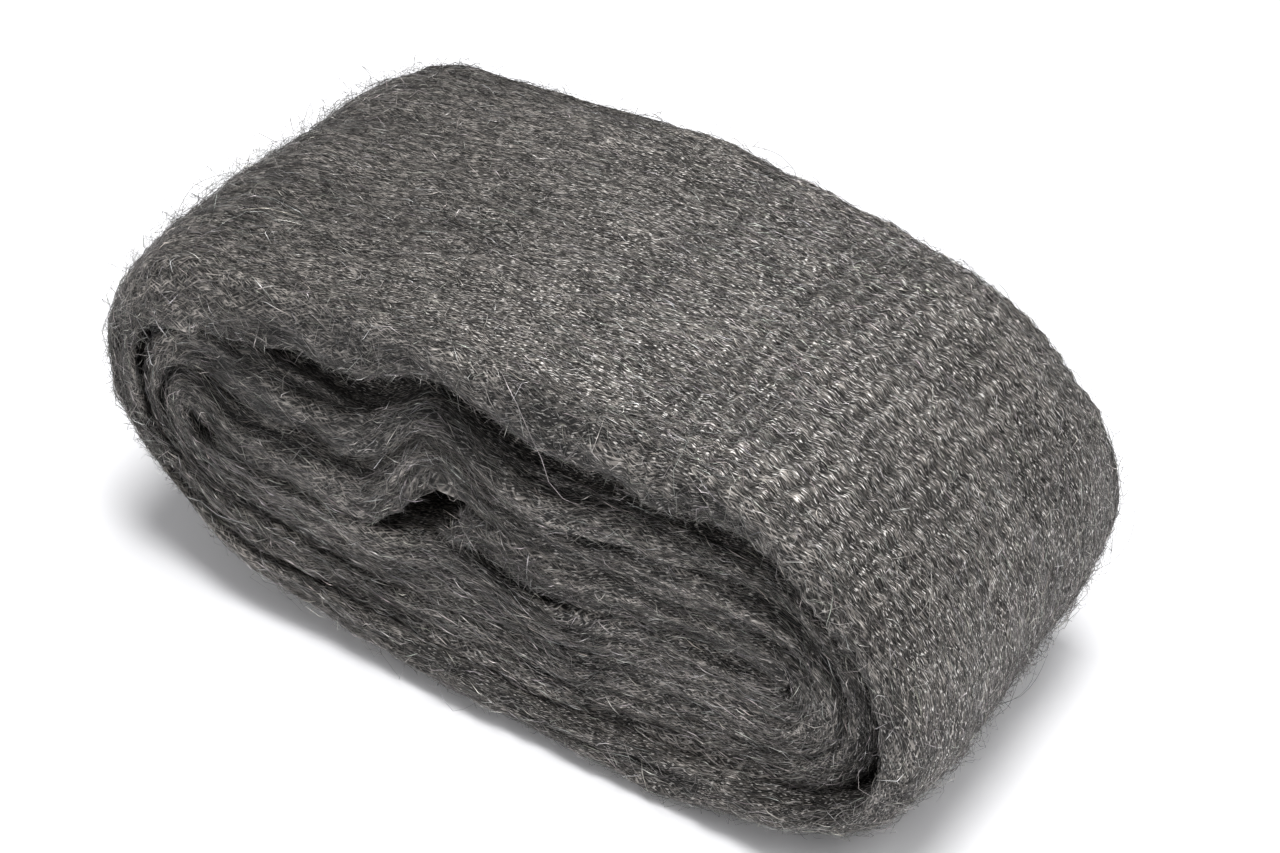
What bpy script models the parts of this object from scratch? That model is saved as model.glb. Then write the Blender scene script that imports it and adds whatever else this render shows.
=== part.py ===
"""A steel wool pad: one strip of wool batt wound flat, so that its turns show at both selvages.

Metres, +Z up. The strip runs along X and is wound about Y, and the pad lies on its flat underside,
with the origin under the middle of its box.
"""

import math

import bmesh
import bpy
from mathutils import Vector

# Driving dimensions
PAD_LENGTH = 0.110  # over the two folded ends
STRIP_WIDTH = 0.0520  # from selvage to selvage
BATT_THICKNESS = 0.0051  # one layer of the strip
WRAP_THICKNESS = 0.0068  # the last layer over the top, which nothing presses
TURN_GAP = 0.0004  # between neighbouring layers
WRAP_GAP = 0.0026  # under the last layer over the top
TURNS = 4  # times that the strip goes round
CORE_SLOT = 0.0010  # between the two innermost layers
INNER_END_X = -0.0065  # where the strip starts, inside the roll
INNER_TAPER = 0.0060  # over which that end thins out
OUTER_END_TURN = math.radians(52)  # how far it goes on up the last fold at the left before it ends
TORN_THICKNESS = 0.0005  # of both torn ends
SELVAGE_ROUND = 0.0021  # how far in from the strip's long edges it is rounded
RIGHT_SQUEEZE = 0.0018  # thickness that each layer loses at the tip of a fold at the right
LEFT_SQUEEZE = 0.0026  # the same at the left, where the folds are tighter

# How far the strip drifts sideways as it is wound
WANDER = 0.0007
WANDER_LENGTH = 0.210  # of strip for one drift to and fro
WRAP_STEP = 0.0008  # the last turn's own step to the front
WRAP_STARTS = 0.62  # share of the strip wound when it steps
RECESS = 0.0006  # how far the inner turns lie back from the last one at the near selvage
RECESS_AT_RIGHT = 0.0022
RECESS_GROWS_FROM = -0.020
RECESS_GROWS_OVER = 0.050

# How the soft layers have settled
SAG_FROM = -0.046  # where the layers have closed over the hollow core, beside the strip's inner end
SAG_TO = -0.006
SAG_RAMP = 0.012  # over which they come down at either side
CREST_X = -0.0045  # where they ride over the inner end
CREST_REACH = 0.0090
PRESS_X = 0.0070  # where the inner end is pressed into the layers below it
PRESS_REACH = 0.0085
PEAK_X = -0.0060  # where the layer over the hollow core is drawn up into a tent
PEAK_REACH = 0.0050
CREST_AT_MIDDLE = 0.45  # share of the crest that is left midway between the selvages
TOP_SWELL = 0.0040
TOP_SWELL_REACH = 0.036
LEFT_LIFT = 0.0036  # how far the underside rises towards the left end
LEFT_LIFT_STARTS = 0.008
LEFT_LIFT_LENGTH = 0.028
RIGHT_LIFT = 0.0022
RIGHT_LIFT_STARTS = 0.020
RIGHT_LIFT_LENGTH = 0.018
NEAR_LEAN = -0.17  # sideways shift for each unit of height, at the near selvage
FAR_LEAN = -0.09
NEAR_DROP = 0.0021  # how far the outside closes in at the near selvage
FAR_DROP = 0.0008
SHOULDER_DROP = 0.0040  # at the far selvage's right shoulder
FLAT_SHARE = 0.58  # middle share of the width that stays flat
FLAT_SPOT = 0.0002  # depth of the underside that its weight has pressed flat
SPOT_HOLLOW = 0.00003  # the spot is hollow by a hair, so the pad rests on its corners

# Fineness of the mesh
RUN_STEP = 0.0034
FOLD_STEP = 0.0030
FOLD_SEGMENTS_LEAST = 8
ROUND_ROWS = 3

PITCH = BATT_THICKNESS + TURN_GAP
HALF_SLOT = CORE_SLOT / 2
UNDERSIDE = -(HALF_SLOT + TURNS * PITCH - TURN_GAP)
WRAP_UNDERSIDE = HALF_SLOT + (TURNS - 1) * PITCH - TURN_GAP + WRAP_GAP
TOP = WRAP_UNDERSIDE + WRAP_THICKNESS
HALF_WIDTH = STRIP_WIDTH / 2
FLAT_HALF = FLAT_SHARE * HALF_WIDTH

# Even height, then how far the sag, the crest, the press and the peak move what lies there.
SETTLING = (
    (-HALF_SLOT, -0.0016, 0.0, -0.0046, 0.0),
    (HALF_SLOT, -0.0020, 0.0014, -0.0030, 0.0),
    (HALF_SLOT + BATT_THICKNESS, -0.0070, 0.0016, -0.0022, 0.0004),
    (HALF_SLOT + PITCH, -0.0076, 0.0022, -0.0016, 0.0034),
    (HALF_SLOT + PITCH + BATT_THICKNESS, -0.0056, 0.0024, -0.0014, 0.0024),
    (HALF_SLOT + 2 * PITCH, -0.0046, 0.0026, -0.0014, 0.0023),
    (HALF_SLOT + 2 * PITCH + BATT_THICKNESS, -0.0009, 0.0030, -0.0014, 0.0014),
    (WRAP_UNDERSIDE, 0.0, 0.0034, -0.0010, 0.0008),
)


def clear_scene():
    for obj in list(bpy.data.objects):
        bpy.data.objects.remove(obj, do_unlink=True)


def smooth_step(value):
    value = min(max(value, 0.0), 1.0)
    return value * value * (3 - 2 * value)


def bump(x, centre, reach):
    return math.exp(-(((x - centre) / reach) ** 2))


def blend(start, end, share):
    return start + (end - start) * share


def layer_height(turn):
    """Height of the middle of a layer above or below the core's middle."""
    return HALF_SLOT + turn * PITCH + BATT_THICKNESS / 2


def over(turn):
    """(height, thickness) of the layer that passes over the core."""
    if turn == TURNS - 1:
        return WRAP_UNDERSIDE + WRAP_THICKNESS / 2, WRAP_THICKNESS
    return layer_height(turn), BATT_THICKNESS


def run(start, end, height, thickness):
    """Points of a straight run, without its last one."""
    steps = max(2, round(abs(end - start) / RUN_STEP))
    return [(blend(start, end, i / steps), height, thickness) for i in range(steps)]


def fold(centre_x, start, end, side):
    """Points of a half turn between two layers, without its last one: side is 1 at the right, -1 at the left."""
    squeeze = RIGHT_SQUEEZE if side > 0 else LEFT_SQUEEZE
    middle = (start[0] + end[0]) / 2
    radius = (start[0] - end[0]) / 2
    segments = max(FOLD_SEGMENTS_LEAST, round(math.pi * abs(radius) / FOLD_STEP))
    points = []
    for i in range(segments):
        angle = math.pi * i / segments
        thickness = blend(start[1], end[1], i / segments) - squeeze * math.sin(angle)
        x = centre_x + side * abs(radius) * math.sin(angle)
        points.append((x, middle + radius * math.cos(angle), thickness))
    return points


def fold_reach(inner_turn, squeeze):
    """From the centre of the outermost fold at one end to the outside of its tip."""
    radius = layer_height(inner_turn) / 2 + over(TURNS - 1)[0] / 2
    return radius + (BATT_THICKNESS + WRAP_THICKNESS) / 4 - squeeze / 2


def right_centre(turn):
    """Where the folds at the right are centred: each one inside lies further out than evenly."""
    return PAD_LENGTH / 2 - fold_reach(TURNS - 1, RIGHT_SQUEEZE) + (TURNS - 1 - turn) * RIGHT_SQUEEZE


def left_centre(turn):
    """The same for the fold at the left that leads into this turn."""
    return fold_reach(TURNS - 2, LEFT_SQUEEZE) - PAD_LENGTH / 2 - (TURNS - 1 - turn) * LEFT_SQUEEZE


def inner_end():
    """The strip's first points: it thins out downwards to the end that is inside the roll."""
    points = []
    for x, z, full in run(INNER_END_X, right_centre(0), *over(0)):
        thickness = blend(TORN_THICKNESS, full, smooth_step((x - INNER_END_X) / INNER_TAPER))
        points.append((x, z - (full - thickness) / 2, thickness))
    return points


def outer_end():
    """The strip's last points: it thins out as it lies up against the fold inside it."""
    radius = (over(TURNS - 1)[0] + layer_height(TURNS - 2)) / 2 + PITCH
    middle = radius - layer_height(TURNS - 1)
    centre_x = left_centre(TURNS) - TURN_GAP / 2
    steps = round(radius * OUTER_END_TURN / FOLD_STEP)
    points = []
    for i in range(steps + 1):
        angle = OUTER_END_TURN * i / steps
        full = BATT_THICKNESS - LEFT_SQUEEZE * math.sin(angle)
        thickness = blend(full, TORN_THICKNESS, smooth_step(i / steps))
        reach = radius - (full - thickness) / 2
        points.append((centre_x - reach * math.sin(angle), middle - reach * math.cos(angle), thickness))
    return points


def centreline():
    """(x, z, thickness) along the strip's middle, from its inner end to its outer end."""
    points = inner_end()
    for turn in range(TURNS):
        upper = over(turn)
        lower = (-layer_height(turn), BATT_THICKNESS)
        if turn > 0:
            points += fold(left_centre(turn), (-layer_height(turn - 1), BATT_THICKNESS), upper, -1)
            points += run(left_centre(turn), right_centre(turn), *upper)
        points += fold(right_centre(turn), upper, lower, 1)
        if turn < TURNS - 1:
            points += run(right_centre(turn), left_centre(turn + 1), *lower)
        else:
            points += run(right_centre(turn), left_centre(TURNS) - TURN_GAP / 2, *lower)
    return points + outer_end()


def sideways(x, y, travelled, whole):
    """How far to the front or back the strip lies here, when this much of it is wound."""
    step = smooth_step((travelled / whole - WRAP_STARTS) / 0.12)
    recess = blend(RECESS, RECESS_AT_RIGHT, smooth_step((x - RECESS_GROWS_FROM) / RECESS_GROWS_OVER))
    recess *= smooth_step(-y / HALF_WIDTH)
    wander = WANDER * math.sin(2 * math.pi * travelled / WANDER_LENGTH)
    return wander - WRAP_STEP * (step - 0.5) + recess * (1 - step)


def section_rows():
    """(y, share of the thickness) across the strip, which is rounded off at its two long edges."""
    rows = []
    for i in range(ROUND_ROWS + 1):
        angle = math.pi / 2 * (i + 0.6) / (ROUND_ROWS + 0.6)
        rows.append((HALF_WIDTH - SELVAGE_ROUND * (1 - math.cos(angle)), math.sin(angle)))
    rows.append((FLAT_HALF, 1.0))
    return [(-y, share) for y, share in rows] + [(y, share) for y, share in reversed(rows)]


def strip_surface(name):
    """The strip's middle surface, as a ribbon that also holds the thickness at each of its points."""
    path = centreline()
    lengths = [0.0]
    for (x0, z0, _), (x1, z1, _) in zip(path, path[1:]):
        lengths.append(lengths[-1] + math.hypot(x1 - x0, z1 - z0))
    bm = bmesh.new()
    shares = bm.verts.layers.deform.verify()
    grid = []
    for (x, z, thickness), travelled in zip(path, lengths):
        line = []
        for y, share in section_rows():
            vert = bm.verts.new((x, y + sideways(x, y, travelled, lengths[-1]), z))
            vert[shares][0] = share * thickness / WRAP_THICKNESS
            line.append(vert)
        grid.append(line)
    for line, following in zip(grid, grid[1:]):
        for i in range(len(line) - 1):
            bm.faces.new((line[i], line[i + 1], following[i + 1], following[i]))
    mesh = bpy.data.meshes.new(name)
    bm.to_mesh(mesh)
    bm.free()
    return mesh


def settled(point):
    """Where a point of the evenly wound strip lies once the layers have sagged and pressed together."""
    x, y, z = point
    edge = max(abs(y) - FLAT_HALF, 0.0) / (HALF_WIDTH - FLAT_HALF)
    sag = smooth_step((x - SAG_FROM) / SAG_RAMP) * smooth_step((SAG_TO - x) / SAG_RAMP)
    crest = bump(x, CREST_X, CREST_REACH) * blend(CREST_AT_MIDDLE, 1.0, min(edge, 1.0))
    press = bump(x, PRESS_X, PRESS_REACH)
    peak = bump(x, PEAK_X, PEAK_REACH)
    lift = LEFT_LIFT * smooth_step((-x - LEFT_LIFT_STARTS) / LEFT_LIFT_LENGTH)
    lift += RIGHT_LIFT * smooth_step((x - RIGHT_LIFT_STARTS) / RIGHT_LIFT_LENGTH)
    marks = [(UNDERSIDE, lift)]
    marks += [(level, a * sag + b * crest + c * press + d * peak) for level, a, b, c, d in SETTLING]
    marks += [(TOP, TOP_SWELL * bump(x, 0.0, TOP_SWELL_REACH))]
    move = marks[-1][1]
    for (low, low_move), (high, high_move) in zip(marks, marks[1:]):
        if z <= high:
            move = blend(low_move, high_move, max(z - low, 0.0) / (high - low))
            break
    z += move
    drop = NEAR_DROP if y < 0 else FAR_DROP
    shoulder = blend(FAR_DROP, SHOULDER_DROP, smooth_step(x / PAD_LENGTH * 2))
    z *= 1 - (NEAR_DROP if y < 0 else shoulder) * edge * edge / TOP
    x *= 1 - drop * edge * edge / (PAD_LENGTH / 2)
    return Vector((x + blend(NEAR_LEAN, FAR_LEAN, y / STRIP_WIDTH + 0.5) * z, y, z))


def press_flat(mesh):
    """Makes the lowest part of the underside the flat spot that the pad rests on."""
    for side in (-1, 1):
        spot = [vert for vert in mesh.vertices if vert.co.z < FLAT_SPOT and vert.co.y * side > 0]
        left = min(vert.co.x for vert in spot)
        right = max(vert.co.x for vert in spot)
        for vert in spot:
            from_middle = (2 * vert.co.x - left - right) / (right - left)
            vert.co.z = SPOT_HOLLOW * (1 - from_middle * from_middle)


def wool_material():
    material = bpy.data.materials.new("steel_wool")
    material.use_nodes = True
    shader = material.node_tree.nodes["Principled BSDF"]
    shader.inputs["Base Color"].default_value = (0.13, 0.125, 0.12, 1.0)
    shader.inputs["Metallic"].default_value = 0.6
    shader.inputs["Roughness"].default_value = 0.55
    return material


def wool_roll(collection):
    """The whole pad: the strip, thickened, rounded at its edges, settled, and set down at the origin."""
    draft = bpy.data.objects.new("strip_draft", strip_surface("strip_draft"))
    collection.objects.link(draft)
    draft.vertex_groups.new(name="thickness")
    solidify = draft.modifiers.new("Thickness", "SOLIDIFY")
    solidify.thickness = WRAP_THICKNESS
    solidify.offset = 0.0
    solidify.use_even_offset = True
    solidify.vertex_group = "thickness"
    graph = bpy.context.evaluated_depsgraph_get()
    mesh = bpy.data.meshes.new_from_object(draft.evaluated_get(graph))
    bpy.data.objects.remove(draft, do_unlink=True)
    mesh.name = "wool_roll"
    for vert in mesh.vertices:
        vert.co = settled(vert.co)
    low = Vector([min(vert.co[axis] for vert in mesh.vertices) for axis in range(3)])
    high = Vector([max(vert.co[axis] for vert in mesh.vertices) for axis in range(3)])
    middle = (low + high) / 2
    stretch = PAD_LENGTH / (high.x - low.x)
    for vert in mesh.vertices:
        vert.co -= Vector((middle.x, middle.y, low.z))
        vert.co.x *= stretch
    press_flat(mesh)
    mesh.materials.clear()
    mesh.materials.append(wool_material())
    mesh.shade_smooth()
    roll = bpy.data.objects.new("wool_roll", mesh)
    collection.objects.link(roll)
    return roll


def main():
    clear_scene()
    collection = bpy.data.collections.new("Steel wool pad")
    bpy.context.scene.collection.children.link(collection)
    wool_roll(collection)


main()
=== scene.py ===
"""Dresses the steel wool pad: the fluffed batt of the wound strip, and the fibres on it and off it."""

import math

import bpy
import numpy as np
from mathutils import Matrix, Vector


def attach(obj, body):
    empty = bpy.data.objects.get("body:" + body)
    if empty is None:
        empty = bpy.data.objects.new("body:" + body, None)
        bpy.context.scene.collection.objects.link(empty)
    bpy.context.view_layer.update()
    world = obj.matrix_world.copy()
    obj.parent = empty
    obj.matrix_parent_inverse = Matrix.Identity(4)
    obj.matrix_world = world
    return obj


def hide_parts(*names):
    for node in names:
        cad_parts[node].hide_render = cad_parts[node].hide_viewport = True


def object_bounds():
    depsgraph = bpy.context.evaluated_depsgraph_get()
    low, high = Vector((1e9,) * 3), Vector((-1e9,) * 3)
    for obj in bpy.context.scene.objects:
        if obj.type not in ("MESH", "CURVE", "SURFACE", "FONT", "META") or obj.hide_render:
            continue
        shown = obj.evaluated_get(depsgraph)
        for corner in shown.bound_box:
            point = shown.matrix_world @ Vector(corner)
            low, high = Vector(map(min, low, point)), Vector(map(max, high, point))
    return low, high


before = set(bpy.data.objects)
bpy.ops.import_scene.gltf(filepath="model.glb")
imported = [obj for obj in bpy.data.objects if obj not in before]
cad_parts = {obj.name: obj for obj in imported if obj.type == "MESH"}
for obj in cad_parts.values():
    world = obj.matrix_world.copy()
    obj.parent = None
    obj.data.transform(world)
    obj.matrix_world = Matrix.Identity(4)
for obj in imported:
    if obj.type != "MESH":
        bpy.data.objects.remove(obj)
SOLID_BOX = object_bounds()

# The strip, in metres, as the solid has it
PAD_LENGTH = 0.110
STRIP_WIDTH = 0.0520
BATT_THICKNESS = 0.0051
WRAP_THICKNESS = 0.0068  # of the last layer over the top
TURN_GAP = 0.0004
WRAP_GAP = 0.0026  # under that layer
TURNS = 4
CORE_SLOT = 0.0010  # between the two innermost layers
INNER_END_X = -0.0065
INNER_TAPER = 0.0060
OUTER_END_TURN = math.radians(52)
TORN_THICKNESS = 0.0005
SELVAGE_ROUND = 0.0021
RIGHT_SQUEEZE = 0.0018
LEFT_SQUEEZE = 0.0026
WANDER = 0.0007
WANDER_LENGTH = 0.210
WRAP_STEP = 0.0008
WRAP_STARTS = 0.62
WRAP_STEP_SHARE = 0.12
RECESS = 0.0006
RECESS_AT_RIGHT = 0.0022
RECESS_GROWS_FROM = -0.020
RECESS_GROWS_OVER = 0.050

# How its soft layers have settled
SAG_FROM = -0.046
SAG_TO = -0.006
SAG_RAMP = 0.012
CREST_X = -0.0045
CREST_REACH = 0.0090
CREST_AT_MIDDLE = 0.45
PRESS_X = 0.0070
PRESS_REACH = 0.0085
PEAK_X = -0.0060
PEAK_REACH = 0.0050
TOP_SWELL = 0.0040
TOP_SWELL_REACH = 0.036
LEFT_LIFT = 0.0036
LEFT_LIFT_STARTS = 0.008
LEFT_LIFT_LENGTH = 0.028
RIGHT_LIFT = 0.0022
RIGHT_LIFT_STARTS = 0.020
RIGHT_LIFT_LENGTH = 0.018
NEAR_LEAN = -0.17
FAR_LEAN = -0.09
NEAR_DROP = 0.0021
FAR_DROP = 0.0008
SHOULDER_DROP = 0.0040
FLAT_SHARE = 0.58

PITCH = BATT_THICKNESS + TURN_GAP
HALF_SLOT = CORE_SLOT / 2
UNDERSIDE = -(HALF_SLOT + TURNS * PITCH - TURN_GAP)
WRAP_UNDERSIDE = HALF_SLOT + (TURNS - 1) * PITCH - TURN_GAP + WRAP_GAP
TOP = WRAP_UNDERSIDE + WRAP_THICKNESS
HALF_WIDTH = STRIP_WIDTH / 2
FLAT_HALF = FLAT_SHARE * HALF_WIDTH
FACE_HALF = HALF_WIDTH - SELVAGE_ROUND

# Even height, then how far the sag, the crest, the press and the peak move what lies there
SETTLING = (
    (-HALF_SLOT, -0.0016, 0.0, -0.0046, 0.0),
    (HALF_SLOT, -0.0020, 0.0014, -0.0030, 0.0),
    (HALF_SLOT + BATT_THICKNESS, -0.0070, 0.0016, -0.0022, 0.0004),
    (HALF_SLOT + PITCH, -0.0076, 0.0022, -0.0016, 0.0034),
    (HALF_SLOT + PITCH + BATT_THICKNESS, -0.0056, 0.0024, -0.0014, 0.0024),
    (HALF_SLOT + 2 * PITCH, -0.0046, 0.0026, -0.0014, 0.0023),
    (HALF_SLOT + 2 * PITCH + BATT_THICKNESS, -0.0009, 0.0030, -0.0014, 0.0014),
    (WRAP_UNDERSIDE, 0.0, 0.0034, -0.0010, 0.0008),
)

# Fineness of the batt's surface
RINGS = 760
RINGS_TO_LAST_TURN = 0.48  # share of the rings that lie before the last turn
ROUND = 84
OUTER_FACE_SHARE = 0.42  # of the points round the section, and the next two are the rest of them
EDGE_SHARE = 0.36
INNER_FACE_SHARE = 0.22
PATH_STEP = 0.0004
DIRECTION_REACH = 4  # steps of the path on either side that soften its direction
NOISE_CELLS = 256  # after which the noise repeats
CLEARANCE = 0.00004  # by which the batt stays above the floor
FIBRE_CLEARANCE = 0.00002
EDGE_FULLNESS = 2.8  # power of the strip's rounded edges: 2 is an oval, and above it they are boxier
END_SUNK = 0.0016  # by which the outer end has felted into the fold below it
SWELL = 0.00050  # by which each inner layer's face stands out beside the selvages
GAP_FLARE = 0.0012  # by which each side of the gap under the last turn flares at the near selvage
FOLD_FILL = 0.49  # share of that gap that each side has swelled into at the left fold
SLOT_FILL = 0.0008  # by which each side of the core's slot has swelled where it narrows
SLOT_FILL_X = -0.0375
SLOT_FILL_REACH = 0.0040
CRIMP_LEAD = 0.014  # of strip before the right fold where its ridges begin
CRIMP_LENGTH = 0.042
RIDGE_PITCH = 0.0022  # between the ridges across the right fold
RIDGE_HEIGHT = 0.00030

# Fibres
FIBRE_POINTS = 4
FUZZ_POINTS = 3
STRAY_POINTS = 11
FIBRE_SIDES = 3
FIBRE_DIP = 0.00006  # by which a fibre's ends are sunk in the batt
BRIDGE_BOW = 0.00064  # a quarter of it is how far a bridging fibre's two ends bend in
WARM_TINT = (1.0, 0.96, 0.92)

# The floor's colour as the camera sees it, over 1 so that only the shadow on it is darker than white
FLOOR_SEEN = (1.08, 1.08, 1.10, 1.0)

# The camera, from the photo's own outline
PHOTO_WIDTH = 1280
FOCAL_PIXELS = 2802
SENSOR_WIDTH = 36.0
CAMERA_AZIMUTH = math.radians(29.6)
CAMERA_ELEVATION = math.radians(39.0)
CAMERA_ROLL = math.radians(4.0)
CAMERA_DISTANCE = 0.367
CAMERA_AIM = Vector((-0.0126, 0.0297, 0.0))


def smooth_step(value):
    value = np.clip(value, 0.0, 1.0)
    return value * value * (3 - 2 * value)


def bump(x, centre, reach):
    return np.exp(-(((x - centre) / reach) ** 2))


def blend(start, end, share):
    return start + (end - start) * share


def lattice_noise(u, v, seed):
    """Smooth noise from -1 to 1, with features about 1 across."""
    table = np.random.RandomState(seed).uniform(-1, 1, (NOISE_CELLS, NOISE_CELLS))
    column, row = np.floor(u).astype(int), np.floor(v).astype(int)
    across, up = smooth_step(u - column), smooth_step(v - row)
    left, right = column % NOISE_CELLS, (column + 1) % NOISE_CELLS
    low, high = row % NOISE_CELLS, (row + 1) % NOISE_CELLS
    bottom = blend(table[left, low], table[right, low], across)
    top = blend(table[left, high], table[right, high], across)
    return blend(bottom, top, up)


# The way that the strip runs


def layer_height(turn):
    return HALF_SLOT + turn * PITCH + BATT_THICKNESS / 2


def over(turn):
    if turn == TURNS - 1:
        return WRAP_UNDERSIDE + WRAP_THICKNESS / 2, WRAP_THICKNESS
    return layer_height(turn), BATT_THICKNESS


def run(start, end, height, thickness):
    """(x, z, thickness) along a straight run, without its last point."""
    x = np.linspace(start, end, max(2, round(abs(end - start) / PATH_STEP)), endpoint=False)
    return np.stack([x, np.full_like(x, height), np.full_like(x, thickness)], axis=1)


def fold(centre_x, start, end, side):
    """The same round a half turn between two layers: side is 1 at the right, -1 at the left."""
    squeeze = RIGHT_SQUEEZE if side > 0 else LEFT_SQUEEZE
    middle, radius = (start[0] + end[0]) / 2, (start[0] - end[0]) / 2
    share = np.linspace(0, 1, max(12, round(math.pi * abs(radius) / PATH_STEP)), endpoint=False)
    angle = math.pi * share
    thickness = blend(start[1], end[1], share) - squeeze * np.sin(angle)
    x = centre_x + side * abs(radius) * np.sin(angle)
    return np.stack([x, middle + radius * np.cos(angle), thickness], axis=1)


def fold_reach(inner_turn, squeeze):
    """From the centre of the outermost fold at one end to the outside of its tip."""
    radius = layer_height(inner_turn) / 2 + over(TURNS - 1)[0] / 2
    return radius + (BATT_THICKNESS + WRAP_THICKNESS) / 4 - squeeze / 2


def right_centre(turn):
    return PAD_LENGTH / 2 - fold_reach(TURNS - 1, RIGHT_SQUEEZE) + (TURNS - 1 - turn) * RIGHT_SQUEEZE


def left_centre(turn):
    return fold_reach(TURNS - 2, LEFT_SQUEEZE) - PAD_LENGTH / 2 - (TURNS - 1 - turn) * LEFT_SQUEEZE


def inner_end():
    """The first run, which thins out downwards to the strip's inner end."""
    points = run(INNER_END_X, right_centre(0), *over(0))
    share = smooth_step((points[:, 0] - INNER_END_X) / INNER_TAPER)
    thickness = blend(TORN_THICKNESS, BATT_THICKNESS, share)
    points[:, 1] -= (BATT_THICKNESS - thickness) / 2
    points[:, 2] = thickness
    return points


def outer_end():
    """The last points, where the strip thins out and lies up against the fold inside it."""
    radius = (over(TURNS - 1)[0] + layer_height(TURNS - 2)) / 2 + PITCH
    middle = radius - layer_height(TURNS - 1)
    share = np.linspace(0, 1, round(radius * OUTER_END_TURN / PATH_STEP))
    angle = OUTER_END_TURN * share
    full = BATT_THICKNESS - LEFT_SQUEEZE * np.sin(angle)
    thickness = blend(full, TORN_THICKNESS, smooth_step(share))
    reach = radius - (full - thickness) / 2
    reach = reach - END_SUNK * smooth_step(share * 1.6 - 0.6)
    x = left_centre(TURNS) - TURN_GAP / 2 - reach * np.sin(angle)
    return np.stack([x, middle - reach * np.cos(angle), thickness], axis=1)


class Strip:
    """The middle line of the strip by the length travelled along it, and where its landmarks are.

    The wrap is the last turn, and the bundle's landmarks are those of the turn next inside it.
    """

    def __init__(self):
        parts, marks = [], {}
        for turn in range(TURNS):
            upper, lower = over(turn), (-layer_height(turn), BATT_THICKNESS)
            marks[turn] = len(parts)
            parts.append(inner_end() if turn == 0 else run(left_centre(turn), right_centre(turn), *upper))
            parts.append(fold(right_centre(turn), upper, lower, 1))
            if turn < TURNS - 1:
                parts.append(run(right_centre(turn), left_centre(turn + 1), *lower))
                parts.append(fold(left_centre(turn + 1), lower, over(turn + 1), -1))
        parts.append(run(right_centre(TURNS - 1), left_centre(TURNS) - TURN_GAP / 2, *lower))
        parts.append(outer_end())
        starts = np.cumsum([0] + [len(part) for part in parts])
        points = np.concatenate(parts)
        steps = np.hypot(np.diff(points[:, 0]), np.diff(points[:, 1]))
        self.travel = np.concatenate([[0.0], np.cumsum(steps)])
        self.length = self.travel[-1]
        self.x, self.z, self.thickness = points.T
        tangent = np.stack([np.gradient(self.x), np.gradient(self.z)])
        tangent /= np.linalg.norm(tangent, axis=0)
        soft = np.hanning(2 * DIRECTION_REACH + 1)
        soft = soft / soft.sum()
        padded_tangent = np.pad(tangent, ((0, 0), (DIRECTION_REACH, DIRECTION_REACH)), mode="edge")
        tangent = np.stack([np.convolve(line, soft, mode="valid") for line in padded_tangent])
        self.out_x, self.out_z = -tangent[1], tangent[0]
        last_top = marks[TURNS - 1]
        self.wrap_fold = self.travel[starts[last_top - 1]]
        self.wrap_top = self.travel[starts[last_top]]
        self.right_fold = self.travel[starts[last_top + 1]]
        self.wrap_under = self.travel[starts[last_top + 2]]
        self.slot_end = self.travel[starts[marks[1] + 1]]
        self.bundle_fold = self.travel[starts[marks[TURNS - 2] - 1]]
        self.bundle_top = self.travel[starts[marks[TURNS - 2]]]
        self.bundle_under = self.travel[starts[marks[TURNS - 2] + 2]]

    def sideways(self, s, x, y):
        """How far to the front or back the strip lies."""
        step = smooth_step((s / self.length - WRAP_STARTS) / WRAP_STEP_SHARE)
        recess = blend(RECESS, RECESS_AT_RIGHT, smooth_step((x - RECESS_GROWS_FROM) / RECESS_GROWS_OVER))
        recess = recess * smooth_step(-y / HALF_WIDTH)
        wander = WANDER * np.sin(2 * math.pi * s / WANDER_LENGTH)
        return wander - WRAP_STEP * (step - 0.5) + recess * (1 - step)


STRIP = Strip()


def strip_x(s):
    return np.interp(s, STRIP.travel, STRIP.x)


def half_section(s):
    """Half the thickness, and the length of one rounded edge at s."""
    half = np.interp(s, STRIP.travel, STRIP.thickness) / 2
    return half, math.pi * np.sqrt((SELVAGE_ROUND**2 + half**2) / 2)


def edge_length(s):
    """Length of one rounded edge at s."""
    return half_section(s)[1]


def on_section(s, p):
    """Place and outward direction at p round the section, measured from the middle of its outer face."""
    half, edge = half_section(s)
    around = 2 * FACE_HALF + edge
    p = (p + around) % (2 * around) - around
    d = np.abs(p)
    angle = np.clip((d - FACE_HALF) / edge, 0.0, 1.0) * math.pi
    toward_side, toward_out = np.sin(angle), np.cos(angle)
    fuller = (toward_side**EDGE_FULLNESS + np.abs(toward_out) ** EDGE_FULLNESS) ** (-1 / EDGE_FULLNESS)
    bulge = SELVAGE_ROUND * toward_side * fuller
    across = np.where(d < FACE_HALF + edge, np.minimum(d, FACE_HALF) + bulge, around - d)
    return across * np.sign(p), half * toward_out * fuller, toward_side * np.sign(p), toward_out


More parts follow.
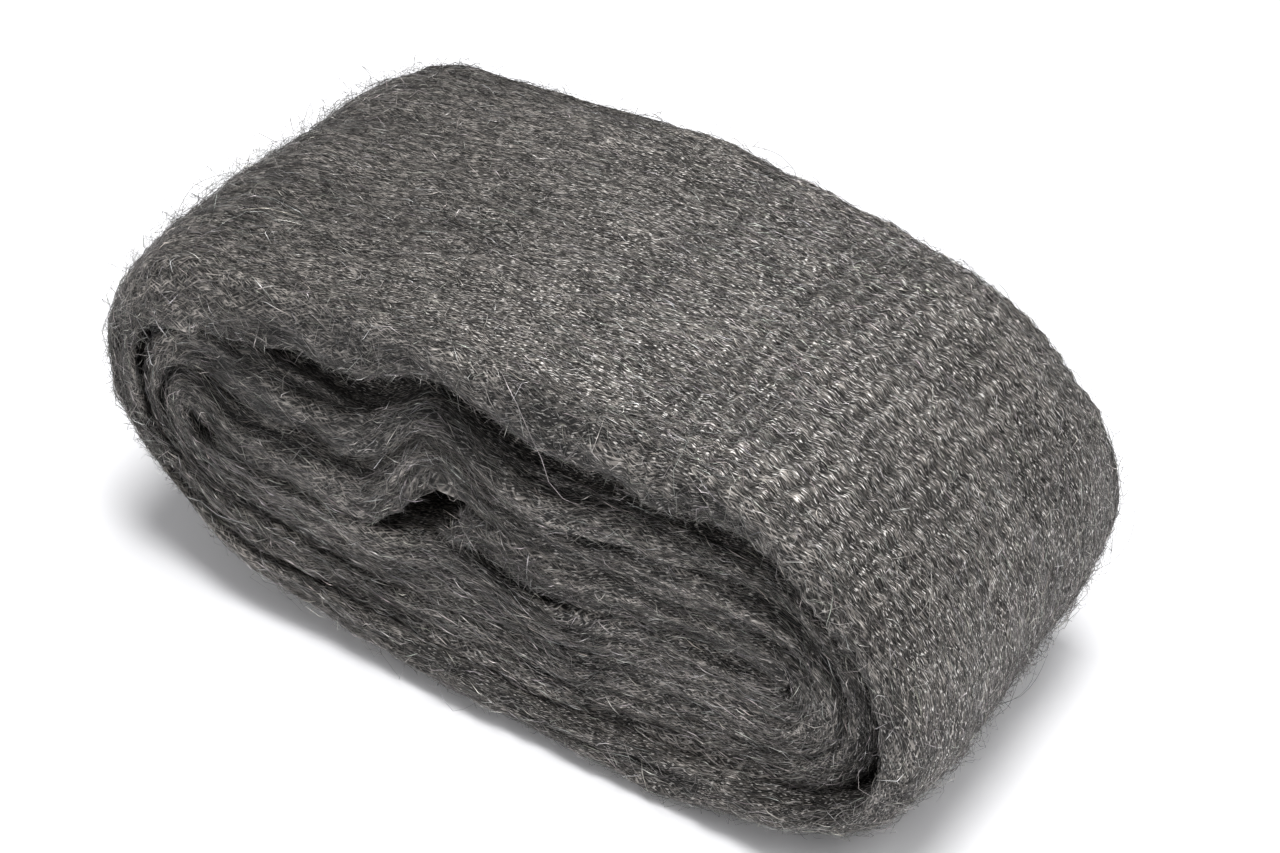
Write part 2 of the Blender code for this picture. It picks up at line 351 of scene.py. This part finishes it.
def settled(x, y, z):
    """Where points of the evenly wound strip lie once the layers have sagged and pressed together."""
    edge = np.maximum(np.abs(y) - FLAT_HALF, 0.0) / (HALF_WIDTH - FLAT_HALF)
    gestures = (
        smooth_step((x - SAG_FROM) / SAG_RAMP) * smooth_step((SAG_TO - x) / SAG_RAMP),
        bump(x, CREST_X, CREST_REACH) * blend(CREST_AT_MIDDLE, 1.0, np.minimum(edge, 1.0)),
        bump(x, PRESS_X, PRESS_REACH),
        bump(x, PEAK_X, PEAK_REACH),
    )
    lift = LEFT_LIFT * smooth_step((-x - LEFT_LIFT_STARTS) / LEFT_LIFT_LENGTH)
    lift = lift + RIGHT_LIFT * smooth_step((x - RIGHT_LIFT_STARTS) / RIGHT_LIFT_LENGTH)
    marks = [(UNDERSIDE, lift)]
    marks += [(row[0], sum(a * g for a, g in zip(row[1:], gestures))) for row in SETTLING]
    marks += [(TOP, TOP_SWELL * bump(x, 0.0, TOP_SWELL_REACH))]
    move = marks[-1][1]
    for (low, low_move), (high, high_move) in reversed(list(zip(marks, marks[1:]))):
        share = np.maximum(z - low, 0.0) / (high - low)
        move = np.where(z <= high, blend(low_move, high_move, share), move)
    z = z + move
    shoulder = blend(FAR_DROP, SHOULDER_DROP, smooth_step(x / PAD_LENGTH * 2))
    z = z * (1 - np.where(y < 0, NEAR_DROP, shoulder) * edge * edge / TOP)
    x = x * (1 - np.where(y < 0, NEAR_DROP, FAR_DROP) * edge * edge / (PAD_LENGTH / 2))
    return np.stack([x + blend(NEAR_LEAN, FAR_LEAN, y / STRIP_WIDTH + 0.5) * z, y, z], axis=-1)


def raw_place(s, p, height):
    """Where a point lies at s along the strip and p round it, before the strip is fitted to the solid."""
    across, out, toward_side, toward_out = on_section(s, p)
    reach = out + height * toward_out
    x = strip_x(s) + reach * np.interp(s, STRIP.travel, STRIP.out_x)
    z = np.interp(s, STRIP.travel, STRIP.z) + reach * np.interp(s, STRIP.travel, STRIP.out_z)
    return settled(x, STRIP.sideways(s, x, across) + across + height * toward_side, z)


def fit_to_solid():
    """Scale and shift that set the bare strip into the solid's box."""
    s, p = np.meshgrid(np.linspace(0, STRIP.length, 900), np.linspace(-0.06, 0.06, 120), indexing="ij")
    bare = raw_place(s, p, np.zeros_like(s)).reshape(-1, 3)
    low, high = bare.min(axis=0), bare.max(axis=0)
    box_low, box_high = (np.array(corner) for corner in SOLID_BOX)
    scale = (box_high - box_low) / (high - low)
    return scale, box_low - low * scale


SCALE, SHIFT = fit_to_solid()


def place(s, p, height):
    """Where a point lies that is this high above the bare surface. Nothing goes below the floor."""
    points = raw_place(s, p, height) * SCALE + SHIFT
    points[..., 2] = np.maximum(points[..., 2], CLEARANCE)
    return points


def selvage_share(s, p):
    """1 on the strip's two edges, 0 on its faces."""
    edge = edge_length(s)
    return smooth_step(1.3 - np.abs(np.abs(p) - FACE_HALF - edge / 2) / (edge / 2 + 0.0008))


def crimp_share(s):
    """1 on the part of the right fold that is crimped across."""
    start = STRIP.right_fold - CRIMP_LEAD
    return smooth_step((s - start) / 0.008) * smooth_step((start + CRIMP_LENGTH - s) / 0.010)


def beside_selvages(s, p):
    """1 in the last few millimetres of either face before a selvage, 0 further in and on the edge's nose."""
    edge = edge_length(s)
    from_nose = np.abs(np.abs(p) - FACE_HALF - edge / 2)
    return smooth_step((edge / 2 + 0.008 - from_nose) / 0.006) * smooth_step(3.6 * from_nose / edge)


def swelling(s, p):
    """How much the layers have swelled together beside the selvages, but not where a gap is open."""
    outer_face = np.abs(p) < FACE_HALF + edge_length(s) / 2
    under_last_turn = outer_face & (s > STRIP.bundle_fold) & (s < STRIP.bundle_under)
    last_turn = (s > STRIP.wrap_fold) & (outer_face | (s < STRIP.wrap_under))
    room = np.linalg.norm(raw_place(s, p, TURN_GAP + 0 * s) - raw_place(s, p, 0 * s), axis=-1)
    closed = 1 - smooth_step((room / TURN_GAP - 1.3) / 1.5)
    in_slot = ~outer_face & (s < STRIP.slot_end)
    slot_swell = SLOT_FILL * bump(strip_x(s), SLOT_FILL_X, SLOT_FILL_REACH)
    swell = SWELL * closed + np.where(in_slot, slot_swell, 0.0)
    return np.where(under_last_turn | last_turn, 0.0, swell * beside_selvages(s, p))


def last_gap(s, p):
    """The last turn's gap: its sides have swelled at the left fold, and flare at the near selvage."""
    outer_face = np.abs(p) < FACE_HALF + edge_length(s) / 2
    above = (s - STRIP.wrap_fold) / (STRIP.wrap_top - STRIP.wrap_fold)
    below = (s - STRIP.bundle_fold) / (STRIP.bundle_top - STRIP.bundle_fold)
    side_above = ~outer_face & (s > STRIP.wrap_fold) & (s < STRIP.wrap_under)
    side_below = outer_face & (s > STRIP.bundle_fold) & (s < STRIP.bundle_under)
    turned = np.where(side_above, above, below)
    gap = blend(TURN_GAP, WRAP_GAP, np.clip(turned, 0.0, 1.0))
    fill = FOLD_FILL * gap * smooth_step((1.25 - turned) / 0.6)
    ends = np.where(side_above, STRIP.wrap_under, STRIP.bundle_under)
    flare = GAP_FLARE * smooth_step((turned - 0.9) / 0.6) * smooth_step((ends - 0.012 - s) / 0.012)
    near = smooth_step(-p / HALF_WIDTH * 2)
    return np.where(side_above | side_below, beside_selvages(s, p) * (fill - flare * near), 0.0)


def painted_gap_shade(s, p):
    """How much shade is painted on the two sides of the gap under the last turn."""
    edge = edge_length(s)
    outward = smooth_step((FACE_HALF + edge / 2 - np.abs(p)) / edge * 2 + 0.4)
    below = smooth_step((s - STRIP.bundle_top + 0.003) / 0.006) * (s < STRIP.bundle_under)
    above = smooth_step((s - STRIP.wrap_top + 0.003) / 0.006) * (s < STRIP.wrap_under)
    return np.where(s < STRIP.wrap_fold, below * outward, above * (1 - smooth_step(outward * 1.4)))


def relief(s, p):
    """The uneven surface of the felted batt."""
    edge = selvage_share(s, p)
    height = 0.00036 * lattice_noise(s / 0.026, p / 0.0085, 11)
    height += 0.00026 * lattice_noise(s / 0.011, p / 0.0024, 12)
    height += 0.00017 * lattice_noise(s / 0.0042, p / 0.0009, 13)
    height += edge * 0.00090 * lattice_noise(s / 0.012, p / 0.0017, 14)
    height += edge * 0.00045 * lattice_noise(s / 0.0045, p / 0.0008, 15)
    return height


def ridges(s, p):
    """-1 to 1 over the ridges across the right fold."""
    waver = 0.40 * lattice_noise(s / 0.009, p / 0.0045, 16)
    rows = np.sin(2 * math.pi * (s / RIDGE_PITCH + waver))
    return crimp_share(s) * rows * (0.75 + 0.35 * lattice_noise(s / 0.003, p / 0.003, 17))


def fluff(s, p):
    """How far the soft surface stands above or below the bare one."""
    return swelling(s, p) + last_gap(s, p) + relief(s, p) + RIDGE_HEIGHT * ridges(s, p)


# Materials


def new_material(name):
    material = bpy.data.materials.new(name)
    material.use_nodes = True
    nodes = material.node_tree.nodes
    return material, nodes, material.node_tree.links, nodes["Principled BSDF"]


def batt_material():
    """The felted depth between the fibres: dark steel, streaked along the strip, with small painted glints
    and painted shade and light.
    """
    material, nodes, links, shader = new_material("felted_steel")
    shader.inputs["Metallic"].default_value = 0.4
    shader.inputs["Roughness"].default_value = 0.55
    strip_map = nodes.new("ShaderNodeUVMap")
    strip_map.uv_map = "Strip"

    def noise_at(place_on_strip, length, width, turned, detail):
        mapping = nodes.new("ShaderNodeMapping")
        mapping.vector_type = "TEXTURE"
        mapping.inputs["Rotation"].default_value = (0.0, 0.0, math.radians(turned))
        mapping.inputs["Scale"].default_value = (length, width, 1.0)
        links.new(place_on_strip, mapping.inputs["Vector"])
        noise = nodes.new("ShaderNodeTexNoise")
        noise.noise_dimensions = "2D"
        noise.inputs["Scale"].default_value = 1.0
        noise.inputs["Detail"].default_value = detail
        links.new(mapping.outputs["Vector"], noise.inputs["Vector"])
        return noise

    def vector_math(kind, first, second):
        node = nodes.new("ShaderNodeVectorMath")
        node.operation = kind
        links.new(first, node.inputs[0])
        if isinstance(second, tuple):
            node.inputs[1].default_value = second
        else:
            links.new(second, node.inputs[1])
        return node.outputs["Vector"]

    def ramp(value, stops):
        node = nodes.new("ShaderNodeValToRGB")
        elements = node.color_ramp.elements
        while len(elements) < len(stops):
            elements.new(0.5)
        for element, (position, tone) in zip(elements, stops):
            element.position = position
            element.color = [tone * part for part in WARM_TINT] + [1.0]
        links.new(value, node.inputs["Fac"])
        return node.outputs["Color"]

    def mixed(kind, first, second, share=1.0):
        node = nodes.new("ShaderNodeMix")
        node.data_type = "RGBA"
        node.blend_type = kind
        node.inputs["Factor"].default_value = share
        links.new(first, node.inputs["A"])
        links.new(second, node.inputs["B"])
        return node.outputs["Result"]

    waves = noise_at(strip_map.outputs["UV"], 0.0060, 0.0040, 0.0, 1.0).outputs["Color"]
    waves = vector_math("MULTIPLY", vector_math("SUBTRACT", waves, (0.5, 0.5, 0.5)), (0.0018, 0.0009, 0.0))
    wavy = vector_math("ADD", strip_map.outputs["UV"], waves)
    rising = noise_at(wavy, 0.0015, 0.00013, 13.0, 0.0).outputs["Fac"]
    falling = noise_at(wavy, 0.0011, 0.00012, -16.0, 0.0).outputs["Fac"]
    fibres_seen = mixed("LIGHTEN", rising, falling)
    locks = noise_at(wavy, 0.0060, 0.0007, 5.0, 2.0).outputs["Fac"]
    glints = noise_at(wavy, 0.00065, 0.00012, 8.0, 0.0).outputs["Fac"]
    tone = ramp(fibres_seen, [(0.44, 0.018), (0.58, 0.076), (0.74, 0.330)])
    tone = mixed("MULTIPLY", tone, ramp(locks, [(0.36, 0.42), (0.62, 1.22)]))
    # Painted shade and light: the batt_shade attribute darkens hollows, selvages and the gap, and lightens
    # crests.
    shade = nodes.new("ShaderNodeAttribute")
    shade.attribute_name = "batt_shade"
    tone = mixed("MULTIPLY", tone, shade.outputs["Color"])
    # Painted glints: bright flecks added to the colour, scaled by a strength attribute.
    painted_glint_strength = nodes.new("ShaderNodeAttribute")
    painted_glint_strength.attribute_name = "batt_painted_glint_strength"
    glints = mixed("MULTIPLY", ramp(glints, [(0.69, 0.0), (0.77, 1.0)]), painted_glint_strength.outputs["Color"])
    tone = mixed("ADD", tone, glints)
    links.new(tone, shader.inputs["Base Color"])
    bumps = nodes.new("ShaderNodeBump")
    bumps.inputs["Strength"].default_value = 0.8
    bumps.inputs["Distance"].default_value = 0.0002
    links.new(fibres_seen, bumps.inputs["Height"])
    links.new(bumps.outputs["Normal"], shader.inputs["Normal"])
    return material


def fibre_material():
    """Bare steel fibres, each with its own tone."""
    material, nodes, links, shader = new_material("steel_fibres")
    shader.inputs["Metallic"].default_value = 0.85
    shader.inputs["Roughness"].default_value = 0.36
    tone = nodes.new("ShaderNodeAttribute")
    tone.attribute_name = "fibre_tone"
    links.new(tone.outputs["Color"], shader.inputs["Base Color"])
    return material


# The batt


def deselect_all():
    bpy.ops.object.select_all(action="DESELECT")


def fluffed_batt():
    """A ball with its poles at the strip's two ends, drawn out along the strip's way."""
    deselect_all()
    bpy.ops.mesh.primitive_uv_sphere_add(segments=ROUND, ring_count=RINGS, radius=1.0)
    batt = bpy.context.active_object
    batt.name = "fluffed_batt"
    mesh = batt.data
    points = np.empty(len(mesh.vertices) * 3)
    mesh.vertices.foreach_get("co", points)
    points = points.reshape(-1, 3)
    across = np.hypot(points[:, 0], points[:, 1])
    ring = np.arctan2(across, points[:, 2]) / math.pi * RINGS
    turn = (np.arctan2(points[:, 1], points[:, 0]) / (2 * math.pi)) % 1.0
    s = travel_of_ring(ring)
    p = around_of_turn(s, turn)
    pole = across < 1e-5
    placed = place(s, p, fluff(s, p))
    for end in (ring < 0.5, ring > RINGS - 0.5):
        beside = (np.abs(ring - ring[end & pole][0]) < 1.5) & ~pole
        placed[end & pole] = placed[beside].mean(axis=0)
    mesh.vertices.foreach_set("co", placed.ravel())
    write_strip_maps(mesh)
    # Painted shade and light: hollows of the relief and of the ridges darker and their crests lighter, the
    # selvages darker, and the sides of the gap under the last turn darker.
    shade = 1.0 + 620 * relief(s, p) + 0.40 * ridges(s, p) - 0.30 * selvage_share(s, p)
    shade = shade * (1 - 0.45 * painted_gap_shade(s, p))
    # Strength of the painted glints: full towards the right end, faint towards the left end and on the
    # selvages.
    painted_glint_strength = blend(0.25, 1.0, smooth_step((placed[:, 0] + 0.040) / 0.060)) * (1 - 0.6 * selvage_share(s, p))
    for name, values in (("batt_shade", np.clip(shade, 0.15, 1.40)), ("batt_painted_glint_strength", painted_glint_strength)):
        attribute = mesh.attributes.new(name, "FLOAT", "POINT")
        attribute.data.foreach_set("value", values)
    mesh.shade_smooth()
    mesh.materials.append(batt_material())
    mesh.update()
    return batt


def travel_of_ring(ring):
    """Rings are closer together on the last turn, which is the one in view."""
    share = (ring - 1) / (RINGS - 2)
    last_turn = STRIP.wrap_fold / STRIP.length
    return np.interp(share, [0, RINGS_TO_LAST_TURN, 1], [0, last_turn, 1]) * STRIP.length


def around_of_turn(s, turn):
    """Points round the section are closer together at the strip's edges."""
    edge = edge_length(s)
    share = np.abs(2 * turn - 1)
    edge_ends = OUTER_FACE_SHARE + EDGE_SHARE
    outer = share / OUTER_FACE_SHARE * FACE_HALF
    rounded = FACE_HALF + (share - OUTER_FACE_SHARE) / EDGE_SHARE * edge
    inner = FACE_HALF + edge + (share - edge_ends) / INNER_FACE_SHARE * FACE_HALF
    beyond = np.where(share < edge_ends, rounded, inner)
    return np.sign(2 * turn - 1) * np.where(share < OUTER_FACE_SHARE, outer, beyond)


def write_strip_maps(mesh):
    """The ball's own map is kept for baking, and a second one measures the strip in metres."""
    layer = mesh.uv_layers[0]
    layer.name = "OFBake"
    values = np.empty(len(mesh.loops) * 2)
    layer.data.foreach_get("uv", values)
    across, up = values.reshape(-1, 2).T
    corners = np.empty(len(mesh.polygons), dtype=np.int32)
    mesh.polygons.foreach_get("loop_total", corners)
    first = np.concatenate([[0], np.cumsum(corners)[:-1]])
    half = np.repeat(np.add.reduceat(across, first) / corners > 0.5, corners)
    s = travel_of_ring((1 - up) * RINGS)
    p = around_of_turn(s, np.where(half, across - 0.5, across + 0.5))
    strip = mesh.uv_layers.new(name="Strip")
    strip.data.foreach_set("uv", np.stack([s, p], axis=1).ravel())


# The fibres


def tube_faces(count, points):
    """Triangles of closed tubes, each with this many rings of three points."""
    ring = np.arange(points - 1)[:, None, None] * FIBRE_SIDES
    side = np.arange(FIBRE_SIDES)[None, :, None]
    following = (side + 1) % FIBRE_SIDES
    near, beside = ring + side, ring + following
    far, far_beside = near + FIBRE_SIDES, beside + FIBRE_SIDES
    halves = [np.concatenate(corners, 2) for corners in ((near, beside, far_beside), (near, far_beside, far))]
    last = (points - 1) * FIBRE_SIDES
    caps = np.array([[2, 1, 0], [last, last + 1, last + 2]])
    one = np.concatenate([half.reshape(-1, 3) for half in halves] + [caps])
    return (one[None] + np.arange(count)[:, None, None] * points * FIBRE_SIDES).reshape(-1, 3)


def fibres(name, lines, radius, tone, material):
    """One mesh of closed tapered tubes along these lines, each with its own tone."""
    count, points, _ = lines.shape
    along = np.gradient(lines, axis=1)
    along /= np.linalg.norm(along, axis=2, keepdims=True)
    side = np.cross(along, np.array([0.31, 0.52, 0.79]))
    side /= np.linalg.norm(side, axis=2, keepdims=True)
    up = np.cross(side, along)
    taper = np.minimum(1.0, 0.35 + 2.6 * (0.5 - np.abs(np.linspace(-0.5, 0.5, points))))
    # Points painted as glints are made wider too.
    glint = tone.max(axis=2) > 0.55
    size = (radius[:, None] * taper * (1 + 0.5 * glint))[..., None]
    rings = []
    for corner in range(FIBRE_SIDES):
        angle = 2 * math.pi * corner / FIBRE_SIDES
        rings.append(lines + size * (math.cos(angle) * side + math.sin(angle) * up))
    vertices = np.stack(rings, axis=2)
    vertices[..., 2] = np.maximum(vertices[..., 2], FIBRE_CLEARANCE)
    mesh = bpy.data.meshes.new(name)
    mesh.from_pydata(vertices.reshape(-1, 3), [], tube_faces(count, points))
    attribute = mesh.attributes.new("fibre_tone", "FLOAT_COLOR", "POINT")
    colour = np.ones((count, points * FIBRE_SIDES, 4))
    colour[..., :3] = np.repeat(tone, FIBRE_SIDES, axis=1)
    attribute.data.foreach_set("color", colour.ravel())
    write_fibre_map(mesh, count, points)
    mesh.shade_smooth()
    mesh.materials.append(material)
    piece = bpy.data.objects.new(name, mesh)
    bpy.context.scene.collection.objects.link(piece)
    return piece


def write_fibre_map(mesh, count, points):
    """Each fibre has a square of its own on the map."""
    grid = math.ceil(math.sqrt(count))
    fibre = np.arange(count)
    u = (fibre % grid)[:, None, None] + 0.2 + 0.6 * np.linspace(0, 1, points)[None, :, None]
    v = (fibre // grid)[:, None, None] + 0.2 + 0.3 * np.arange(FIBRE_SIDES)[None, None, :]
    u, v = np.broadcast_arrays(u, v)
    corners = np.empty(len(mesh.loops), dtype=np.int32)
    mesh.loops.foreach_get("vertex_index", corners)
    layer = mesh.uv_layers.new(name="OFBake")
    layer.data.foreach_set("uv", (np.stack([u.ravel(), v.ravel()], axis=1)[corners] / grid).ravel())


def tones(chance, count, points, middle, glinting):
    """Warm greys that vary from fibre to fibre and along each one, with short painted glints here and there.
    """
    tone = middle * np.exp(chance.normal(0, 0.50, (count, 1)) + chance.normal(0, 0.30, (count, points)))
    # Painted glints: some points of a fibre are made near white.
    glint = chance.rand(count, points) < glinting
    tone = np.where(glint, chance.uniform(0.6, 1.0, (count, points)), tone)
    tint = chance.normal(0, 0.03, (count, 1, 3)) + np.array(WARM_TINT)
    return np.clip(tone[..., None] * tint, 0.01, 1.0)


def on_outer_side(chance, start):
    return chance.uniform(-1, 1, start.shape) * (FACE_HALF + edge_length(start) / 2)


def on_outer_face(chance, start):
    return chance.uniform(-1, 1, start.shape) * (HALF_WIDTH - 0.0005)


def on_far_edge(chance, start):
    return FACE_HALF - 0.0012 + chance.rand(*start.shape) * (edge_length(start) + 0.0024)


def on_near_edge(chance, start):
    return -on_far_edge(chance, start)


def kinks(chance, count, points, size):
    """Small irregular offsets along each fibre, which add up to nothing."""
    offsets = chance.normal(0, 1, (count, points)) * chance.uniform(0.3, 1.0, (count, 1)) * size
    return offsets - offsets.mean(axis=1, keepdims=True)


def lying_fibres(name, seed, count, s_range, p_at, material, length=(0.0017, 0.0048), lift=0.00030,
                 turn_spread=0.25, middle=0.20, glinting=0.05):
    """Short crimped fibres that lie along the strip and dip under at their ends."""
    chance = np.random.RandomState(seed)
    share = np.linspace(0, 1, FIBRE_POINTS)[None, :]
    start = chance.uniform(s_range[0], s_range[1], (count, 1))
    long = chance.uniform(length[0], length[1], (count, 1))
    heading = np.clip(chance.normal(0, turn_spread, (count, 1)), -1.3, 1.3)
    bend = chance.normal(0, 0.35, (count, 1))
    s = start + long * share * np.cos(heading)
    p = p_at(chance, start) + long * ((share - 0.5) * np.sin(heading) + bend * (share - 0.5) ** 2)
    p = p + kinks(chance, count, FIBRE_POINTS, 0.00008)
    s = np.clip(s, 0.0, STRIP.length)
    height = chance.uniform(0.0, lift, (count, 1)) * (1 - (2 * share - 1) ** 4) - FIBRE_DIP
    height = height + kinks(chance, count, FIBRE_POINTS, 0.00005)
    lines = place(s, p, fluff(s, p) + height)
    radius = chance.uniform(0.000022, 0.000046, count)
    return fibres(name, lines, radius, tones(chance, count, FIBRE_POINTS, middle, glinting), material)


def bridging_fibres(name, seed, count, s_range, side, material, turn_spread=0.36, over_edge=(0.20, 0.85)):
    """Fibres that run straight over a selvage from one layer to the next: side is -1 for the near one."""
    chance = np.random.RandomState(seed)
    share = np.linspace(-0.5, 0.5, FIBRE_POINTS)[None, :, None]
    s = chance.uniform(s_range[0], s_range[1], count)
    p = side * (FACE_HALF + edge_length(s) * chance.uniform(over_edge[0], over_edge[1], count))
    anchor = place(s, p, fluff(s, p))
    along = place(s + 0.0005, p, fluff(s, p)) - anchor
    along /= np.linalg.norm(along, axis=1, keepdims=True)
    up = np.cross(along, np.array([0.0, side, 0.0]))
    long = chance.uniform(0.0018, 0.0048, (count, 1, 1))
    heading = chance.normal(0, turn_spread, (count, 1, 1))
    bend = chance.normal(0, 0.35, (count, 1, 1))
    offsets = kinks(chance, count, FIBRE_POINTS, 0.00010)[..., None]
    lines = anchor[:, None] + along[:, None] * long * share * np.cos(heading)
    lines = lines + up[:, None] * (long * (share * np.sin(heading) + bend * share**2) + offsets)
    lines[..., 1] += side * (chance.uniform(-0.0001, 0.0005, (count, 1)) - BRIDGE_BOW * share[..., 0] ** 2)
    lines[..., 2] = np.maximum(lines[..., 2], CLEARANCE)
    radius = chance.uniform(0.000022, 0.000042, count)
    return fibres(name, lines, radius, tones(chance, count, FIBRE_POINTS, 0.19, 0.025), material)


def fuzz(name, seed, count, s_range, p_at, material, length, lift, points=FUZZ_POINTS):
    """Fibres with one end in the batt and the other standing off it."""
    chance = np.random.RandomState(seed)
    share = np.linspace(0, 1, points)[None, :]
    start = chance.uniform(s_range[0], s_range[1], (count, 1))
    long = chance.uniform(length[0], length[1], (count, 1))
    heading = chance.normal(0, 0.55, (count, 1)) + math.pi * (chance.rand(count, 1) < 0.5)
    curl = chance.normal(0, 0.8, (count, 1))
    s = np.clip(start + long * share * np.cos(heading + curl * share), 0.0, STRIP.length)
    p = p_at(chance, start) + long * share * np.sin(heading + curl * share)
    p = p + kinks(chance, count, points, 0.00010)
    top = np.minimum(chance.exponential(lift, (count, 1)) + 0.0002, 3.2 * lift)
    rise = np.sin(chance.uniform(1.2, 2.9, (count, 1)) * share) * top
    lines = place(s, p, fluff(s, p) + rise - FIBRE_DIP)
    radius = chance.uniform(0.000018, 0.000034, count)
    return fibres(name, lines, radius, tones(chance, count, points, 0.20, 0.04), material)


# Setting


def pale_floor():
    deselect_all()
    bpy.ops.mesh.primitive_plane_add(size=4.0, location=(0, 0, 0))
    floor = bpy.context.active_object
    floor.name = "pale_floor"
    material, nodes, links, shader = new_material("pale_floor")
    shader.inputs["Roughness"].default_value = 1.0
    shader.inputs["Specular IOR Level"].default_value = 0.0
    path = nodes.new("ShaderNodeLightPath")
    seen = path.outputs["Is Camera Ray"]
    for ray in ("Is Glossy Ray", "Is Transmission Ray"):
        either = nodes.new("ShaderNodeMath")
        either.operation = "MAXIMUM"
        links.new(seen, either.inputs[0])
        links.new(path.outputs[ray], either.inputs[1])
        seen = either.outputs["Value"]
    paper = nodes.new("ShaderNodeMix")
    paper.data_type = "RGBA"
    paper.inputs["A"].default_value = (0.86, 0.86, 0.87, 1.0)
    paper.inputs["B"].default_value = FLOOR_SEEN
    links.new(seen, paper.inputs["Factor"])
    links.new(paper.outputs["Result"], shader.inputs["Base Color"])
    floor.data.materials.append(material)


def soft_light(name, place_at, size, power):
    data = bpy.data.lights.new(name, "AREA")
    data.shape = "DISK"
    data.size = size
    data.energy = power
    lamp = bpy.data.objects.new(name, data)
    lamp.location = place_at
    lamp.rotation_euler = (Vector((0, 0, 0.02)) - Vector(place_at)).to_track_quat("-Z", "Y").to_euler()
    bpy.context.scene.collection.objects.link(lamp)


def studio():
    soft_light("high_light", (0.06, -0.06, 0.96), 0.44, 7.9)
    soft_light("side_light", (0.46, -0.22, 0.86), 0.40, 1.7)
    soft_light("front_light", (-0.55, -0.75, 0.50), 0.60, 1.6)
    world = bpy.data.worlds.new("pale_room")
    world.use_nodes = True
    world.node_tree.nodes["Background"].inputs["Color"].default_value = (0.98, 0.985, 1.0, 1.0)
    world.node_tree.nodes["Background"].inputs["Strength"].default_value = 0.29
    bpy.context.scene.world = world
    bpy.context.scene.view_settings.view_transform = "Standard"


def camera():
    cos_up, sin_up = math.cos(CAMERA_ELEVATION), math.sin(CAMERA_ELEVATION)
    back = Vector((math.sin(CAMERA_AZIMUTH) * cos_up, -math.cos(CAMERA_AZIMUTH) * cos_up, sin_up))
    level = Vector((0, 0, 1)).cross(back).normalized()
    upright = back.cross(level)
    cos_roll, sin_roll = math.cos(CAMERA_ROLL), math.sin(CAMERA_ROLL)
    right = cos_roll * level + sin_roll * upright
    up = -sin_roll * level + cos_roll * upright
    data = bpy.data.cameras.new("photo_camera")
    data.sensor_width = SENSOR_WIDTH
    data.lens = FOCAL_PIXELS / PHOTO_WIDTH * SENSOR_WIDTH
    data.clip_start = 0.01
    eye = bpy.data.objects.new("photo_camera", data)
    turned = Matrix((right, up, back)).transposed().to_4x4()
    eye.matrix_world = Matrix.Translation(CAMERA_AIM + back * CAMERA_DISTANCE) @ turned
    bpy.context.scene.collection.objects.link(eye)
    bpy.context.scene.camera = eye


def dress():
    """Makes the batt and lays the fibres on it, each group over its own stretch of the strip."""
    batt = fluffed_batt()
    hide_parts("wool_roll")
    steel = fibre_material()
    whole = (0.0, STRIP.length - 0.006)
    bundle = (0.001, STRIP.wrap_fold + 0.01)
    left_fold = (STRIP.wrap_fold - 0.002, STRIP.wrap_top + 0.008)
    inner_end_run = (0.0, 0.014)
    over_peak = STRIP.slot_end - right_centre(1) + PEAK_X
    over_inner_end = (over_peak - 0.011, over_peak + 0.009)
    over_gap = (STRIP.wrap_top, STRIP.right_fold + 0.014)
    outside = (STRIP.wrap_fold, STRIP.length - 0.004)
    top = (STRIP.wrap_top - 0.010, STRIP.wrap_top + 0.045)
    painted_light_top = (STRIP.wrap_top + 0.040, STRIP.right_fold)
    right = (STRIP.right_fold - 0.010, STRIP.wrap_under)
    left = (STRIP.wrap_fold - 0.002, STRIP.wrap_top)
    underneath = (STRIP.wrap_under - 0.004, STRIP.length - 0.004)
    pieces = [
        batt,
        # Painted light: the right half of the top is a little lighter and, with the right fold, has more
        # painted glints than the rest.
        lying_fibres("top_fibres", 1, 2800, top, on_outer_face, steel, glinting=0.03),
        lying_fibres("painted_light_top_fibres", 14, 3400, painted_light_top, on_outer_face, steel, middle=0.23,
                     glinting=0.14),
        lying_fibres("right_fold_fibres", 2, 4600, right, on_outer_face, steel, length=(0.0014, 0.0040),
                     turn_spread=0.27, glinting=0.14),
        lying_fibres("left_fold_fibres", 3, 1800, left, on_outer_face, steel),
        lying_fibres("underside_fibres", 4, 700, underneath, on_outer_face, steel),
        lying_fibres("near_selvage_fibres", 5, 6400, whole, on_near_edge, steel, lift=0.0005, turn_spread=0.3,
                     middle=0.22, glinting=0.025),
        lying_fibres("far_selvage_fibres", 6, 2000, whole, on_far_edge, steel, lift=0.0005, turn_spread=0.3),
        bridging_fibres("near_bridging_fibres", 7, 4300, bundle, -1, steel),
        bridging_fibres("far_bridging_fibres", 8, 1000, bundle, 1, steel),
        bridging_fibres("left_fold_bridging", 15, 900, left_fold, -1, steel, turn_spread=0.9),
        bridging_fibres("inner_end_bridging", 16, 500, inner_end_run, -1, steel, turn_spread=0.8),
        bridging_fibres("peak_bridging", 17, 500, over_inner_end, -1, steel, turn_spread=0.5),
        bridging_fibres("last_gap_bridging", 18, 700, over_gap, -1, steel, turn_spread=0.6,
                        over_edge=(0.55, 1.05)),
        fuzz("outer_fuzz", 9, 12000, outside, on_outer_side, steel,
             length=(0.0016, 0.0042), lift=0.0006),
        fuzz("right_fold_fuzz", 12, 2600, right, on_outer_side, steel,
             length=(0.0014, 0.0034), lift=0.0005),
        fuzz("left_fold_fuzz", 13, 1400, left, on_outer_side, steel,
             length=(0.0016, 0.0042), lift=0.0010),
        fuzz("near_edge_fuzz", 10, 1500, whole, on_near_edge, steel,
             length=(0.0016, 0.0040), lift=0.0005),
        fuzz("stray_fibres", 11, 450, outside, on_outer_face, steel,
             length=(0.0060, 0.0160), lift=0.0010, points=STRAY_POINTS),
    ]
    for piece in pieces:
        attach(piece, "root")


dress()
pale_floor()
studio()
camera()
